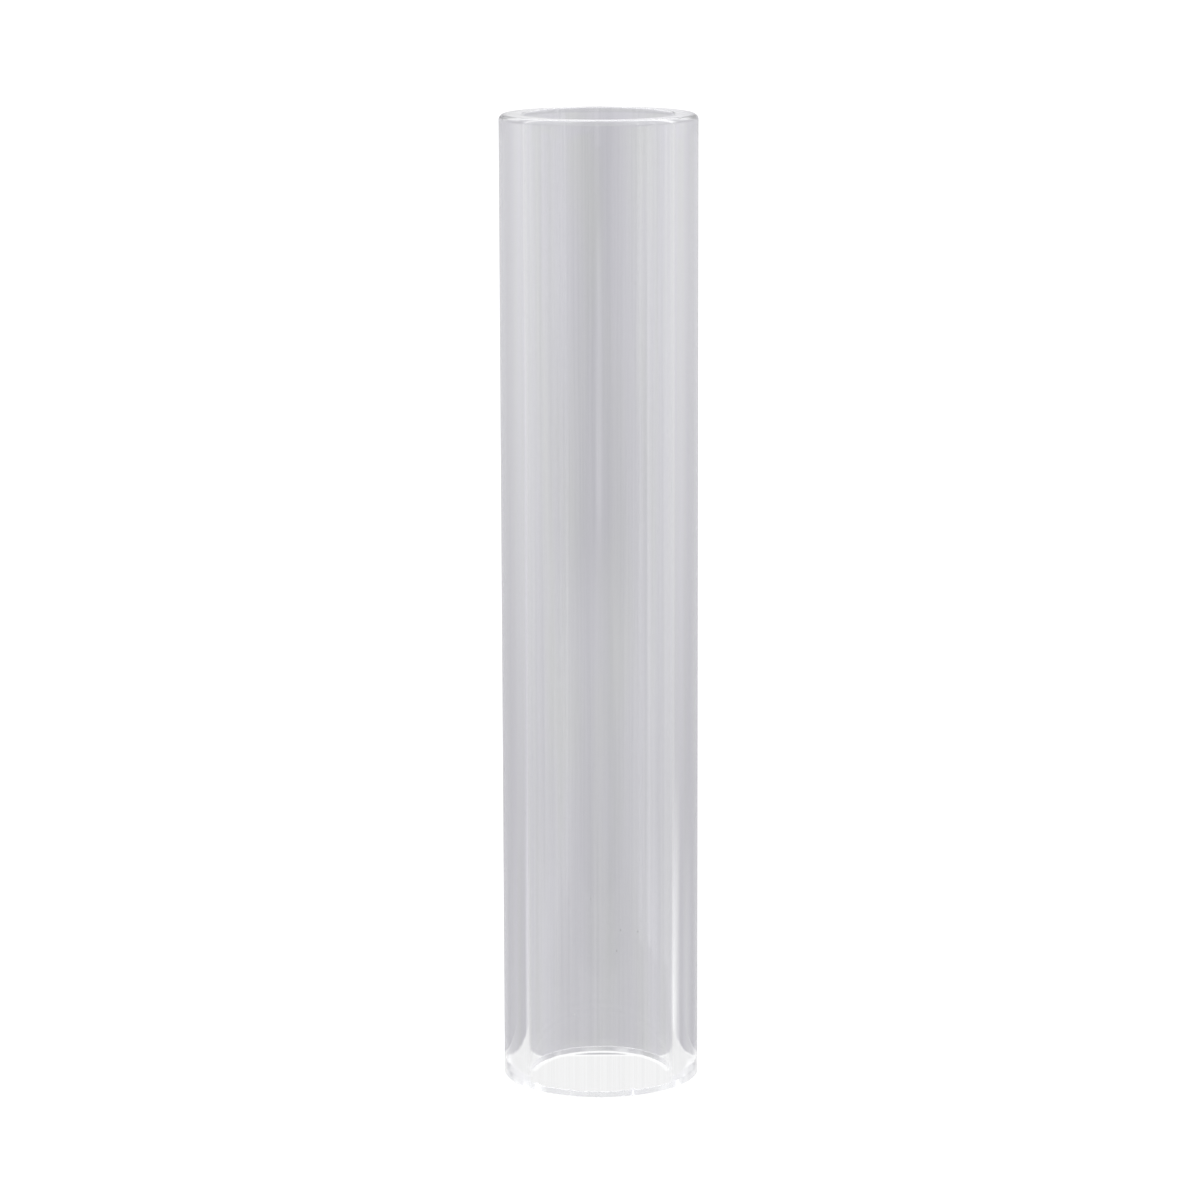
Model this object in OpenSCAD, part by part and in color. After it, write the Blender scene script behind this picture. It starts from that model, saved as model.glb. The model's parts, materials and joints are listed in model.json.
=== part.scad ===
// Heavy-wall glass tube, open at both ends. It stands upright on its sawn foot,
// and its top rim has been melted smooth in a flame.
// Millimetres, +Z up. The origin is on the tube's axis, in the plane it stands on.

/* [Tube] */
// Outside diameter
outside_d = 40; // [24:1:80]
// Wall thickness, the same all round
wall = 5; // [3:0.5:9]
// Length from foot to rim
tube_length = 198; // [60:1:400]

/* [Rim] */
// Radius that the flame leaves on the rim's outer edge
rim_outer_round = 1.2; // [0.4:0.1:1.6]
// Radius that the flame leaves on the rim's inner edge
rim_inner_round = 0.8; // [0.3:0.1:1.2]

/* [Foot] */
// Width of the small chamfer that takes the sharpness off both sawn edges
foot_arris = 0.1; // [0.1:0.1:0.8]

/* [Hidden] */
$fn = 128;
bore_r = outside_d / 2 - wall;
// How far a cutting shape runs past the surface that it cuts
past = 1;
glass_colour = [0.80, 0.80, 0.83, 0.45];

// What is cut from a square corner that points to +X and +Y, at the origin,
// to leave it rounded.
module rounding_waste(radius) {
    difference() {
        translate([-radius, -radius])
            square(radius + past);
        translate([-radius, -radius])
            circle(r = radius);
    }
}

// What is cut from a square corner that points to +X and -Y, at the origin,
// to leave a flat chamfer at 45 degrees.
module arris_waste(width) {
    polygon([[-width, 0], [-width, -past], [past, -past], [past, width], [0, width]]);
}

// Half of the tube's section along its axis: one wall, standing on the X axis.
module wall_section() {
    difference() {
        translate([bore_r, 0])
            square([wall, tube_length]);
        translate([bore_r + wall, tube_length])
            rounding_waste(rim_outer_round);
        translate([bore_r, tube_length])
            mirror([1, 0])
                rounding_waste(rim_inner_round);
        translate([bore_r + wall, 0])
            arris_waste(foot_arris);
        translate([bore_r, 0])
            mirror([1, 0])
                arris_waste(foot_arris);
    }
}

module glass_tube() {
    color(glass_colour)
        rotate_extrude()
            wall_section();
}

glass_tube();
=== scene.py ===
"""A heavy-wall glass tube standing on its sawn foot, lit as still-life glass is lit.

Everything is in metres, +Z up, with the origin on the tube's axis in the plane it stands on.
"""

import json
import math
import random

import bpy
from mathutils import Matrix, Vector, noise


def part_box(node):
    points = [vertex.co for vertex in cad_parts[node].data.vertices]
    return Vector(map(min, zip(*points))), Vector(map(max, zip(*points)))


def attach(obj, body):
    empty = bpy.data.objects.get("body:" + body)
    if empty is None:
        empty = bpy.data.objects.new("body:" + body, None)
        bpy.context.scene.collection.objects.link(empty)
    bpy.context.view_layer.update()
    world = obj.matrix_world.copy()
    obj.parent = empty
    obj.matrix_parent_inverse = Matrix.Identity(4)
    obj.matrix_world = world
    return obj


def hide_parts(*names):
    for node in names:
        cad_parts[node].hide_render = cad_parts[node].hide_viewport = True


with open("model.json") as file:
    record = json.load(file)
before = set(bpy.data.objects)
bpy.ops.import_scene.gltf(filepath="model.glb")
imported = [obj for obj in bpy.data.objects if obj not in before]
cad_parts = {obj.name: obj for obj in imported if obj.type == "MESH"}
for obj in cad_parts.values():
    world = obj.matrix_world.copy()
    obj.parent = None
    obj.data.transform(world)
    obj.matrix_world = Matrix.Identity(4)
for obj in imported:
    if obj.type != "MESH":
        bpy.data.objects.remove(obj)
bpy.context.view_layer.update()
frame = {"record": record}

MM = 0.001

# ---------------------------------------------------------------- sizes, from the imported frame
NODE = "glass_tube"
box_low, box_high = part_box(NODE)
MOUNTS = {mount["name"]: mount for mount in frame["record"]["mounts"]}
OUTSIDE_R = MOUNTS["outer_wall"]["dims"]["r_mm"] * MM
BORE_R = MOUNTS["bore"]["dims"]["r_mm"] * MM
LENGTH = box_high.z - box_low.z
RIM_OUTER_ROUND = 1.2 * MM
RIM_INNER_ROUND = 0.8 * MM
FOOT_ARRIS = 0.03 * MM

# ---------------------------------------------------------------- how fine the mesh is
COLUMNS = 768
WALL_ROWS = 44
ROUND_STEPS = 8
# The first and last rows of a straight run lie this far from its ends.
HOLD = 0.12 * MM

# ---------------------------------------------------------------- small node helpers


def new_tree(material_or_world):
    """An empty node tree to build in."""
    material_or_world.use_nodes = True
    tree = material_or_world.node_tree
    tree.nodes.clear()
    return tree


def add_node(tree, kind, **settings):
    """A node of one kind, with its plain properties set."""
    node = tree.nodes.new(kind)
    for name, value in settings.items():
        setattr(node, name, value)
    return node


def feed(tree, socket, source):
    """Gives a socket a link when source is another socket, or else a plain value."""
    if isinstance(source, bpy.types.NodeSocket):
        tree.links.new(source, socket)
    else:
        socket.default_value = source


def math_node(tree, operation, *values):
    """One Math node's output."""
    node = add_node(tree, "ShaderNodeMath", operation=operation)
    for socket, value in zip(node.inputs, values):
        feed(tree, socket, value)
    return node.outputs[0]


def vector_node(tree, operation, *values):
    """One Vector Math node's output."""
    node = add_node(tree, "ShaderNodeVectorMath", operation=operation)
    for socket, value in zip(node.inputs, values):
        feed(tree, socket, value)
    return node.outputs["Vector"]


def mix_node(tree, kind, share, first, second):
    """One value changing to another as share goes from 0 to 1: colours for RGBA, numbers for FLOAT."""
    node = add_node(tree, "ShaderNodeMix", data_type=kind)
    feed(tree, node.inputs["Factor"], share)
    feed(tree, node.inputs["A"], first)
    feed(tree, node.inputs["B"], second)
    return node.outputs["Result"]


def tint_between(tree, share, dark, light):
    """A colour between two, by a share from 0 to 1."""
    return mix_node(tree, "RGBA", share, (*dark, 1.0), (*light, 1.0))


def smooth_range(tree, value, low, high, to_low=0.0, to_high=1.0):
    """A value taken smoothly from one range to another, and held at both ends."""
    node = add_node(tree, "ShaderNodeMapRange", interpolation_type="SMOOTHSTEP")
    for name, source in (
        ("Value", value),
        ("From Min", low),
        ("From Max", high),
        ("To Min", to_low),
        ("To Max", to_high),
    ):
        feed(tree, node.inputs[name], source)
    return node.outputs["Result"]


def noise_node(tree, place, scale=1.0, detail=3.0, roughness=0.6):
    """One Noise Texture's value, about 0.5 on average."""
    node = add_node(tree, "ShaderNodeTexNoise")
    feed(tree, node.inputs["Vector"], place)
    node.inputs["Scale"].default_value = scale
    node.inputs["Detail"].default_value = detail
    node.inputs["Roughness"].default_value = roughness
    return node.outputs["Fac"]


def bump(tree, height, distance):
    """A normal bent by a height."""
    node = add_node(tree, "ShaderNodeBump")
    feed(tree, node.inputs["Height"], height)
    node.inputs["Distance"].default_value = distance
    return node.outputs["Normal"]


# ---------------------------------------------------------------- the wall's section


def arc(centre, radius, start_deg, end_deg):
    """Points (radius, height) along a quarter round of the wall's section."""
    points = []
    for step in range(ROUND_STEPS + 1):
        angle = math.radians(start_deg + (end_deg - start_deg) * step / ROUND_STEPS)
        points.append((centre[0] + radius * math.cos(angle), centre[1] + radius * math.sin(angle)))
    return points


def straight(start, end, steps):
    """Points between two points (radius, height), leaving both ends out.

    The first and the last lie close to the ends, so that the smooth shading of a round next to this
    run stays on the round.
    """
    near = HOLD / math.dist(start, end)
    shares = [near] + [step / steps for step in range(1, steps)] + [1 - near]
    return [
        (start[0] + (end[0] - start[0]) * share, start[1] + (end[1] - start[1]) * share)
        for share in shares
    ]


def wall_section():
    """The wall's section as a closed run of (radius, height, part) points.

    It starts at the foot's outer edge and goes up the outside, over the rim, down the bore and
    back along the foot.
    """
    outer_centre = (OUTSIDE_R - RIM_OUTER_ROUND, LENGTH - RIM_OUTER_ROUND)
    inner_centre = (BORE_R + RIM_INNER_ROUND, LENGTH - RIM_INNER_ROUND)
    outer_round = arc(outer_centre, RIM_OUTER_ROUND, 0, 90)
    inner_round = arc(inner_centre, RIM_INNER_ROUND, 90, 180)
    foot_outer = (OUTSIDE_R - FOOT_ARRIS, 0.0)
    arris_outer = (OUTSIDE_R, FOOT_ARRIS)
    arris_inner = (BORE_R, FOOT_ARRIS)
    foot_inner = (BORE_R + FOOT_ARRIS, 0.0)
    runs = (
        ("foot_outer", [foot_outer]),
        ("arris_outer", [arris_outer]),
        ("outside", straight(arris_outer, outer_round[0], WALL_ROWS)),
        ("rim", outer_round),
        ("rim", straight(outer_round[-1], inner_round[0], ROUND_STEPS)),
        ("rim", inner_round),
        ("bore", straight(inner_round[-1], arris_inner, WALL_ROWS)),
        ("arris_inner", [arris_inner]),
        ("foot_inner", [foot_inner]),
        ("foot", straight(foot_inner, foot_outer, ROUND_STEPS)),
    )
    return [(radius, height, part) for part, points in runs for radius, height in points]


# The material slots, and the one that the faces starting at each part of the section are in.
OUTER_WALL, GROUND_EDGE, SAWN_FACE, BORE_WALL = range(4)
SLOT_OF_PART = {
    "foot_outer": GROUND_EDGE,
    "arris_outer": OUTER_WALL,
    "outside": OUTER_WALL,
    "rim": OUTER_WALL,
    "bore": BORE_WALL,
    "arris_inner": GROUND_EDGE,
    "foot_inner": SAWN_FACE,
    "foot": SAWN_FACE,
}

# ---------------------------------------------------------------- what is uneven about the tube
RANDOM_SEED = 7
FRONT = -math.pi / 2
BACK = math.pi / 2

# Drawn tubing is never quite even. These are how far its two walls wander, how long the waves are
# round the tube and along it, and how far apart the two walls' waves are taken from the noise.
WANDER = 0.012 * MM
WANDER_ROUND = 5.0
WANDER_ALONG = 0.09
WANDER_APART = 31.0


def wander(angle, height, side):
    """How far one of the drawn walls, side 0 or 1, strays either way at a place on it."""
    place = Vector((
        math.cos(angle) * WANDER_ROUND + side * WANDER_APART,
        math.sin(angle) * WANDER_ROUND,
        height / WANDER_ALONG,
    ))
    return noise.noise(place) * WANDER


# The foot's edges are chipped by the saw. Spreads are in radians round the edge.
FRONT_CHIPS = {"count": 60, "middle": FRONT, "spread": 0.36, "largest": 0.6 * MM}
BACK_CHIPS = {"count": 8, "middle": BACK + 0.45, "spread": 0.12, "largest": 0.7 * MM}
STRAY_CHIPS = {"count": 14, "middle": FRONT, "spread": 2.4, "largest": 0.25 * MM}
CHIP_WIDTHS = (0.25, 1.0)
CHIP_DEPTHS = (0.08, 0.2)


class Chip:
    """A small shell of glass broken off the sawn edge."""

    def __init__(self, draw, angle, largest):
        self.angle = angle
        self.half_width = draw.uniform(*CHIP_WIDTHS) * largest
        self.depth = self.half_width * draw.uniform(*CHIP_DEPTHS)

    def cut(self, angle, radius):
        """How deep this chip is at an angle round the edge."""
        turn = (angle - self.angle + math.pi) % math.tau - math.pi
        share = abs(turn) * radius / self.half_width
        return self.depth * math.sqrt(1 - share * share) if share < 1 else 0.0


def chips_round(draw, count, middle, spread, largest):
    """Chips scattered round an edge, most of them near one angle."""
    return [Chip(draw, draw.gauss(middle, spread), largest) for _ in range(count)]


def chip_depth(chips, angle, radius):
    """The deepest chip at an angle round an edge."""
    return max(chip.cut(angle, radius) for chip in chips)


BUBBLES = 26
BUBBLE_COVER = 1.2 * MM
BUBBLE_HEIGHTS = (0.03, 0.97)
BUBBLE_HALF_WIDTHS = (0.04 * MM, 0.11 * MM)
BUBBLE_STRETCH = (1.2, 4.0)
BUBBLE_RINGS = 5
BUBBLE_SIDES = 8


class Bubble:
    """A tiny bubble in the wall, drawn out along the tube."""

    def __init__(self, draw):
        angle = draw.uniform(0, math.tau)
        distance = draw.uniform(BORE_R + BUBBLE_COVER, OUTSIDE_R - BUBBLE_COVER)
        height = draw.uniform(*BUBBLE_HEIGHTS) * LENGTH
        self.centre = Vector((distance * math.cos(angle), distance * math.sin(angle), height))
        self.half_width = draw.uniform(*BUBBLE_HALF_WIDTHS)
        self.half_length = self.half_width * draw.uniform(*BUBBLE_STRETCH)

    def vertices(self):
        """The bubble's bottom point, its rings of points going up, and its top point."""
        tip = Vector((0, 0, self.half_length))
        points = [self.centre - tip]
        for ring in range(1, BUBBLE_RINGS):
            rise = math.pi * ring / BUBBLE_RINGS
            for side in range(BUBBLE_SIDES):
                turn = math.tau * side / BUBBLE_SIDES
                out = self.half_width * math.sin(rise)
                up = -self.half_length * math.cos(rise)
                points.append(self.centre + Vector((out * math.cos(turn), out * math.sin(turn), up)))
        points.append(self.centre + tip)
        return points


def bubble_faces(first):
    """One bubble's faces, turned to face into it, with its vertices numbered from first."""
    rings = BUBBLE_RINGS - 1
    top = first + 1 + rings * BUBBLE_SIDES
    highest = top - BUBBLE_SIDES
    faces = []
    for side in range(BUBBLE_SIDES):
        after = (side + 1) % BUBBLE_SIDES
        faces.append((first, first + 1 + side, first + 1 + after))
        faces.append((top, highest + after, highest + side))
        for ring in range(rings - 1):
            low = first + 1 + ring * BUBBLE_SIDES
            high = low + BUBBLE_SIDES
            faces.append((low + after, low + side, high + side, high + after))
    return faces


# ---------------------------------------------------------------- the tube's mesh


def skin_vertices(draw, section):
    """The section turned round the axis, wandering along both walls and chipped at the foot."""
    outer_chips = chips_round(draw, **FRONT_CHIPS) + chips_round(draw, **STRAY_CHIPS)
    inner_chips = chips_round(draw, **BACK_CHIPS) + chips_round(draw, **STRAY_CHIPS)
    vertices = []
    for column in range(COLUMNS):
        angle = math.tau * column / COLUMNS
        outer_cut = chip_depth(outer_chips, angle, OUTSIDE_R)
        inner_cut = chip_depth(inner_chips, angle, BORE_R)
        for radius, height, part in section:
            if part == "outside":
                # Taken in by the most that it can stray, so that it never goes past OUTSIDE_R.
                radius -= WANDER + wander(angle, height, 0)
            elif part == "bore":
                radius += wander(angle, height, 1)
            elif part == "foot_outer":
                radius -= outer_cut
            elif part == "arris_outer":
                height += outer_cut
            elif part == "arris_inner":
                height += inner_cut
            elif part == "foot_inner":
                radius += inner_cut
            vertices.append((radius * math.cos(angle), radius * math.sin(angle), height))
    return vertices


def skin_faces(rows):
    """Quads between each column of the skin and the next, in the order of the section's rows."""
    faces = []
    for column in range(COLUMNS):
        here = column * rows
        there = (column + 1) % COLUMNS * rows
        for row in range(rows):
            above = (row + 1) % rows
            faces.append((here + row, there + row, there + above, here + above))
    return faces


def glass_tube_mesh():
    """The drawn tube as one closed skin, outside, melted rim, bore and sawn foot, with its bubbles."""
    draw = random.Random(RANDOM_SEED)
    section = wall_section()
    rows = len(section)
    vertices = skin_vertices(draw, section)
    faces = skin_faces(rows)
    skin_vertex_count = len(vertices)
    skin_face_count = len(faces)
    for _ in range(BUBBLES):
        faces += bubble_faces(len(vertices))
        vertices += Bubble(draw).vertices()
    mesh = bpy.data.meshes.new("drawn_glass_tube")
    mesh.from_pydata(vertices, [], faces)
    mesh.update()
    parts = [part for _, _, part in section]
    for polygon in mesh.polygons:
        polygon.use_smooth = True
        if polygon.index < skin_face_count:
            polygon.material_index = SLOT_OF_PART[parts[polygon.index % rows]]
    for edge in mesh.edges:
        first, second = edge.vertices
        on_skin = max(first, second) < skin_vertex_count
        runs_round = first % rows == second % rows
        if on_skin and runs_round and parts[first % rows].startswith(("foot_", "arris_")):
            edge.use_edge_sharp = True
    return mesh


# ---------------------------------------------------------------- materials
GLASS_IOR = 1.473

# Draw lines, by how closely the noise is set round the tube and along it.
FINE_LINES = {"round_scale": 80.0, "along_scale": 14.0}
BROAD_LINES = {"round_scale": 20.0, "along_scale": 8.0}
FINE_SHARE = 0.6
BROAD_SHARE = 0.4
LINE_TINT_RANGE = (0.39, 0.61)
LINE_GLOSS_RANGE = (0.35, 0.8)
LINE_ROUGHEST = 0.01
LINE_DEPTH = 0.006 * MM
OUTER_TINTS = ((0.862, 0.867, 0.874), (0.938, 0.94, 0.943))
BORE_TINTS = ((0.965, 0.967, 0.97), (1.0, 1.0, 1.0))

# Marks on the cut glass. The saw's scratches are drawn out along Y.
SCRATCH_SCALES = (5200, 420, 5200)
GRIT_SCALE = 4200.0
FLAKE_SCALE = 1500.0
FLAKE_TINT_RANGE = (0.40, 0.58)
GRIT_GLOSS_RANGE = (0.3, 0.7)
LEAST_DULL_SHARE = 0.4
COLD_TINT = 1.01
CLEAREST_CUT = (0.98, 0.98, 0.98)


def glass_shader(tree, roughness, colour, normal):
    """A clear Principled glass and its output."""
    shader = add_node(tree, "ShaderNodeBsdfPrincipled")
    shader.inputs["Transmission Weight"].default_value = 1.0
    shader.inputs["IOR"].default_value = GLASS_IOR
    feed(tree, shader.inputs["Roughness"], roughness)
    feed(tree, shader.inputs["Base Color"], colour)
    feed(tree, shader.inputs["Normal"], normal)
    output = add_node(tree, "ShaderNodeOutputMaterial")
    tree.links.new(shader.outputs["BSDF"], output.inputs["Surface"])


def draw_line_place(tree, round_scale, along_scale):
    """A place for noise that is stretched along the tube, so that it makes draw lines."""
    place = add_node(tree, "ShaderNodeTexCoord").outputs["Object"]
    around = vector_node(tree, "NORMALIZE", vector_node(tree, "MULTIPLY", place, (1, 1, 0)))
    around = vector_node(tree, "MULTIPLY", around, (round_scale, round_scale, 0))
    along = vector_node(tree, "MULTIPLY", place, (0, 0, along_scale))
    return vector_node(tree, "ADD", around, along)


def drawn_glass(name, tints):
    """Clear drawn tubing: faint lengthwise lines in its tint, its surface and its gloss."""
    material = bpy.data.materials.new(name)
    tree = new_tree(material)
    fine = noise_node(tree, draw_line_place(tree, **FINE_LINES), detail=4.0, roughness=0.7)
    broad = noise_node(tree, draw_line_place(tree, **BROAD_LINES), detail=2.0)
    broad_part = math_node(tree, "MULTIPLY", broad, BROAD_SHARE)
    lines = math_node(tree, "MULTIPLY_ADD", fine, FINE_SHARE, broad_part)
    tint = tint_between(tree, smooth_range(tree, lines, *LINE_TINT_RANGE), *tints)
    gloss = smooth_range(tree, fine, *LINE_GLOSS_RANGE, 0.0, LINE_ROUGHEST)
    glass_shader(tree, gloss, tint, bump(tree, lines, LINE_DEPTH))
    return material


def cut_glass(name, dullest, scratch_depth, darkest):
    """Glass cut across: fine saw scratches, grit and tiny flakes, more or less dull."""
    material = bpy.data.materials.new(name)
    tree = new_tree(material)
    place = add_node(tree, "ShaderNodeTexCoord").outputs["Object"]
    scratches = noise_node(tree, vector_node(tree, "MULTIPLY", place, SCRATCH_SCALES))
    grit = noise_node(tree, place, scale=GRIT_SCALE, detail=4.0)
    flakes = noise_node(tree, place, scale=FLAKE_SCALE, detail=2.0)
    surface = math_node(tree, "ADD", scratches, math_node(tree, "ADD", grit, flakes))
    dark = (darkest, darkest, darkest * COLD_TINT)
    tint = tint_between(tree, smooth_range(tree, flakes, *FLAKE_TINT_RANGE), dark, CLEAREST_CUT)
    gloss = smooth_range(tree, grit, *GRIT_GLOSS_RANGE, LEAST_DULL_SHARE * dullest, dullest)
    glass_shader(tree, gloss, tint, bump(tree, surface, scratch_depth))
    return material


WHITE = (1.0, 1.0, 1.0, 1.0)


def white_paper():
    """The floor: matt white."""
    material = bpy.data.materials.new("white_paper")
    tree = new_tree(material)
    shader = add_node(tree, "ShaderNodeBsdfDiffuse")
    shader.inputs["Color"].default_value = WHITE
    output = add_node(tree, "ShaderNodeOutputMaterial")
    tree.links.new(shader.outputs[0], output.inputs["Surface"])
    return material


def lit_white(strength):
    """White acrylic, lit evenly, as a plain emission; made brighter, it also paints highlights and
    pools of light on the plate.
    """
    material = bpy.data.materials.new("lit_white")
    tree = new_tree(material)
    shader = add_node(tree, "ShaderNodeEmission")
    shader.inputs["Color"].default_value = WHITE
    shader.inputs["Strength"].default_value = strength
    output = add_node(tree, "ShaderNodeOutputMaterial")
    tree.links.new(shader.outputs[0], output.inputs["Surface"])
    return material


# ---------------------------------------------------------------- the stage
# Round stage pieces have this many sides to the whole circle, or to the half ring.
STAGE_SIDES = 64
FLOOR_R = 2.5
FLOOR_DROP = 0.3 * MM

# The lit plate under the tube ends in a brighter edge, under the back of the bore: a painted highlight,
# as if the plate's edge caught the light.
PLATE_LEVEL = 0.945
PLATE_DROP = 0.1 * MM
PLATE_BACK = 12.4 * MM
PLATE_EDGE = 1.2 * MM
PLATE_EDGE_HIGHLIGHT_LEVEL = 1.06
PLATE_FRONT = -110.0 * MM
PLATE_SIDE = 110.0 * MM

# Half a ring on the plate, just inside the back half of the wall, is brighter still: a painted pool of
# light, where the glass would focus light on the plate.
GLOW_INNER_R = 13.7 * MM
GLOW_OUTER_R = 15.1 * MM
PAINTED_CAUSTIC_LEVEL = 1.08
GLOW_DROP = 0.07 * MM


def flat_piece(name, outline, height, material):
    """A flat face with this outline, at this height."""
    mesh = bpy.data.meshes.new(name)
    mesh.from_pydata([(x, y, height) for x, y in outline], [], [tuple(range(len(outline)))])
    mesh.materials.append(material)
    piece = bpy.data.objects.new(name, mesh)
    bpy.context.scene.collection.objects.link(piece)
    return piece


def only_for_glass(piece):
    """Leaves a stage piece to be seen through the glass and in it, and nowhere else."""
    piece.visible_camera = False
    piece.visible_diffuse = False
    piece.visible_shadow = False


def round_points(radius, turn, steps):
    """Points (x, y) along a circle from +X, with STAGE_SIDES steps to the turn."""
    angles = [turn * step / STAGE_SIDES for step in range(steps)]
    return [(radius * math.cos(angle), radius * math.sin(angle)) for angle in angles]


def build_floor():
    """A white floor, for the eye only."""
    outline = round_points(FLOOR_R, math.tau, STAGE_SIDES)
    floor = flat_piece("floor", outline, -FLOOR_DROP, white_paper())
    floor.visible_glossy = False
    floor.visible_transmission = False


def build_plate():
    """The lit plate that the glass shows at its foot, with a painted highlight along its back edge and
    a painted pool of light on it, for the glass only.
    """
    # The plate is lit evenly; the strip along its back edge is brighter, a painted highlight.
    for name, front, back, level in (
        ("plate", PLATE_FRONT, PLATE_BACK - PLATE_EDGE, PLATE_LEVEL),
        ("plate_edge_highlight", PLATE_BACK - PLATE_EDGE, PLATE_BACK, PLATE_EDGE_HIGHLIGHT_LEVEL),
    ):
        corners = [(-PLATE_SIDE, front), (PLATE_SIDE, front), (PLATE_SIDE, back), (-PLATE_SIDE, back)]
        only_for_glass(flat_piece(name, corners, -PLATE_DROP, lit_white(level)))
    # Half a ring of brighter white on the plate: a painted pool of light, where the glass would focus
    # light on the plate.
    outer = round_points(GLOW_OUTER_R, math.pi, STAGE_SIDES + 1)
    inner = round_points(GLOW_INNER_R, math.pi, STAGE_SIDES + 1)
    only_for_glass(flat_piece("painted_caustic", outer + inner[::-1], -GLOW_DROP, lit_white(PAINTED_CAUSTIC_LEVEL)))


# ---------------------------------------------------------------- the studio
# What the eye sees around the tube, and what lights the floor, just over full white.
WHITE_LEVEL = 1.15

# The studio as the glass sees it, from the backdrop forward: each panel covers what was before it.
# Degrees round are counted from straight behind the tube, alike on both sides unless a panel stands
# on the right only, and degrees of rise from level. A soft edge runs from the first number of a pair
# to the second.
BACKDROP_LOW = 0.572
BACKDROP_LEVEL = 0.65
BACKDROP_RISE = (-16, -4)
PANELS = {
    "flank_of_the_backdrop": {"round_in": (0, 45), "rise_in": (-15, -3), "level": 0.765},
    "fold_of_the_backdrop": {
        "round_in": (3, 6),
        "round_out": (9, 13),
        "rise_in": (-12.5, -11),
        "rise_out": (-9.5, -6),
        "level": 0.595,
    },
    "table_behind_at_the_sides": {
        "round_in": (5, 11),
        "round_out": (28, 40),
        "rise_out": (-15, -13),
        "level": 0.625,
    },
    "side_soft_box": {"round_in": (54, 73), "round_out": (125, 175), "level": 1.08},
    "dark_room_in_front": {"round_in": (114, 175), "rise_in": (-11.5, -9.5), "level": 0.30},
    "white_table_in_front": {"round_in": (157, 177), "rise_out": (-11.5, -9.5), "level": 0.80},
    "camera": {"round_in": (173, 180), "rise_in": (-10.5, -9), "rise_out": (-6.5, -5.5), "level": 0.85},
    "white_card": {
        "right_only": True,
        "round_in": (44, 52),
        "round_out": (58, 64),
        "rise_out": (-14.5, -12.5),
        "level": 0.79,
    },
    "lit_table_at_the_sides": {
        "round_in": (52, 62),
        "round_out": (92, 120),
        "rise_out": (-16, -12.5),
        "level": 0.95,
    },
    "lit_table_on_the_right": {
        "right_only": True,
        "round_in": (50, 58),
        "round_out": (70, 90),
        "rise_out": (-16, -14),
        "level": 1.10,
    },
    "edge_of_the_soft_box": {
        "right_only": True,
        "round_in": (92, 96),
        "round_out": (98, 102),
        "level": 1.6,
    },
    "strip_light": {
        "right_only": True,
        "round_in": (116, 119),
        "round_out": (121, 124),
        "level": 2.4,
    },
    "top_of_the_sweep": {"rise_in": (1.5, 4.6), "level": 0.80},
    "overhead_soft_box": {"rise_in": (10, 34), "level": 2.3},
    "wide_pale_flag": {
        "round_out": (100, 125),
        "rise_in": (13, 15.5),
        "rise_out": (18.5, 20.5),
        "level": 1.0,
    },
    "pale_flag_behind": {
        "round_out": (14, 26),
        "rise_in": (17, 18.2),
        "rise_out": (24, 30),
        "level": 0.86,
    },
    "grey_flag_behind": {
        "round_out": (12, 22),
        "rise_in": (8, 12),
        "rise_out": (15.2, 16),
        "level": 0.56,
    },
}

# The dim parts of the studio are a little violet. A soft mottle shifts where dim turns to bright.
DIM_TINT = (0.992, 0.980, 1.043)
BRIGHT_TINT = (0.995, 0.997, 1.008)
DIM_TO_BRIGHT = (0.45, 1.0)
MOTTLE = 2.4
MOTTLE_SCALE = 11.0


def coverage(tree, panel, turn, right_turn, rise):
    """How much of a panel shows in a direction, from 0 to 1."""
    around = right_turn if panel.get("right_only") else turn
    share = 1.0
    for edge, value, to_low, to_high in (
        ("round_in", around, 0.0, 1.0),
        ("round_out", around, 1.0, 0.0),
        ("rise_in", rise, 0.0, 1.0),
        ("rise_out", rise, 1.0, 0.0),
    ):
        if edge in panel:
            edge_share = smooth_range(tree, value, *panel[edge], to_low, to_high)
            share = math_node(tree, "MULTIPLY", share, edge_share)
    return share


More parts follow.
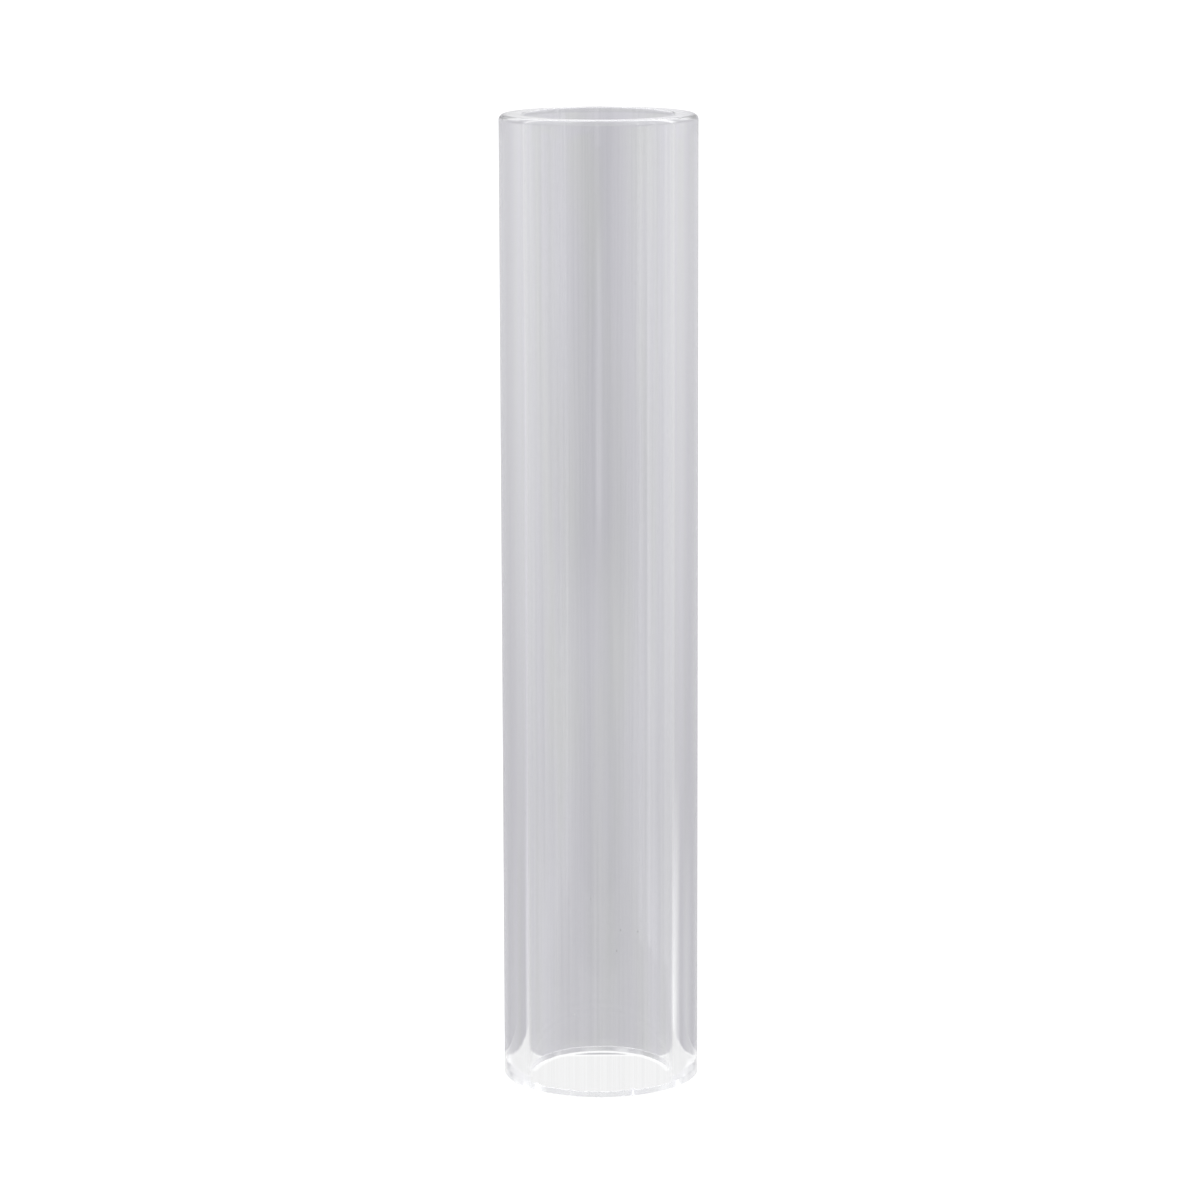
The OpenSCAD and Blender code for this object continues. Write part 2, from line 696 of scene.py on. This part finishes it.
def build_studio():
    """White to the eye and to the floor; to the glass, a soft studio."""
    world = bpy.data.worlds.new("studio")
    bpy.context.scene.world = world
    tree = new_tree(world)
    direction = add_node(tree, "ShaderNodeTexCoord").outputs["Generated"]
    parts = add_node(tree, "ShaderNodeSeparateXYZ")
    feed(tree, parts.inputs[0], vector_node(tree, "NORMALIZE", direction))
    rise = math_node(tree, "DEGREES", math_node(tree, "ARCSINE", parts.outputs["Z"]))
    right_radians = math_node(tree, "ARCTAN2", parts.outputs["X"], parts.outputs["Y"])
    right_turn = math_node(tree, "DEGREES", right_radians)
    turn = math_node(tree, "ABSOLUTE", right_turn)
    seen = smooth_range(tree, rise, *BACKDROP_RISE, BACKDROP_LOW, BACKDROP_LEVEL)
    for panel in PANELS.values():
        share = coverage(tree, panel, turn, right_turn, rise)
        seen = mix_node(tree, "FLOAT", share, seen, panel["level"])
    mottle = noise_node(tree, direction, scale=MOTTLE_SCALE, detail=2.0)
    centred_mottle = math_node(tree, "MULTIPLY_ADD", mottle, MOTTLE, -0.5 * MOTTLE)
    brightness = math_node(tree, "ADD", seen, centred_mottle)
    tint = tint_between(tree, smooth_range(tree, brightness, *DIM_TO_BRIGHT), DIM_TINT, BRIGHT_TINT)
    for_glass = add_node(tree, "ShaderNodeBackground")
    feed(tree, for_glass.inputs["Color"], tint)
    feed(tree, for_glass.inputs["Strength"], seen)
    for_eye = add_node(tree, "ShaderNodeBackground")
    for_eye.inputs["Color"].default_value = WHITE
    for_eye.inputs["Strength"].default_value = WHITE_LEVEL
    path = add_node(tree, "ShaderNodeLightPath")
    off_paper = math_node(tree, "GREATER_THAN", path.outputs["Diffuse Depth"], 0.5)
    for_eye_share = math_node(tree, "MAXIMUM", path.outputs["Is Camera Ray"], off_paper)
    mixer = add_node(tree, "ShaderNodeMixShader")
    feed(tree, mixer.inputs["Fac"], for_eye_share)
    tree.links.new(for_glass.outputs[0], mixer.inputs[1])
    tree.links.new(for_eye.outputs[0], mixer.inputs[2])
    output = add_node(tree, "ShaderNodeOutputWorld")
    tree.links.new(mixer.outputs[0], output.inputs["Surface"])
    world.cycles.sampling_method = "NONE"


# ---------------------------------------------------------------- the camera
CAMERA_PLACE = (0.00048, -0.8951, 0.2674)
CAMERA_TILT = math.radians(10.646)
CAMERA_ROLL = math.radians(0.15)
CAMERA_LENS = 134.1
CAMERA_SENSOR = 36.0
CAMERA_NEAREST = 0.01


def build_camera():
    """A long lens, a little above the rim, looking slightly down."""
    data = bpy.data.cameras.new("camera")
    data.sensor_width = CAMERA_SENSOR
    data.lens = CAMERA_LENS
    data.clip_start = CAMERA_NEAREST
    camera = bpy.data.objects.new("camera", data)
    camera.location = CAMERA_PLACE
    camera.rotation_euler = (math.pi / 2 - CAMERA_TILT, CAMERA_ROLL, 0.0)
    bpy.context.scene.collection.objects.link(camera)
    bpy.context.scene.camera = camera


# ---------------------------------------------------------------- putting it together
# Light runs down inside the wall from rim to foot, and is turned back at every bounce.
LIGHT_BOUNCES = 128


def build_glass_tube():
    """The tube, with a material for each kind of surface, in the order of the slots."""
    tube = bpy.data.objects.new("glass_tube_drawn", glass_tube_mesh())
    bpy.context.scene.collection.objects.link(tube)
    for material in (
        drawn_glass("outer_wall", OUTER_TINTS),
        cut_glass("ground_edge", dullest=0.34, scratch_depth=0.03 * MM, darkest=0.45),
        cut_glass("sawn_face", dullest=0.10, scratch_depth=0.001 * MM, darkest=0.90),
        drawn_glass("bore_wall", BORE_TINTS),
    ):
        tube.data.materials.append(material)
    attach(tube, "root")
    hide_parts(NODE)


def set_light_paths():
    """Plain colours, and light followed for long enough to come out of the glass."""
    scene = bpy.context.scene
    scene.view_settings.view_transform = "Standard"
    scene.cycles.max_bounces = LIGHT_BOUNCES
    scene.cycles.glossy_bounces = LIGHT_BOUNCES
    scene.cycles.transmission_bounces = LIGHT_BOUNCES
    scene.cycles.blur_glossy = 0.0


build_camera()
build_studio()
build_floor()
build_plate()
build_glass_tube()
set_light_paths()
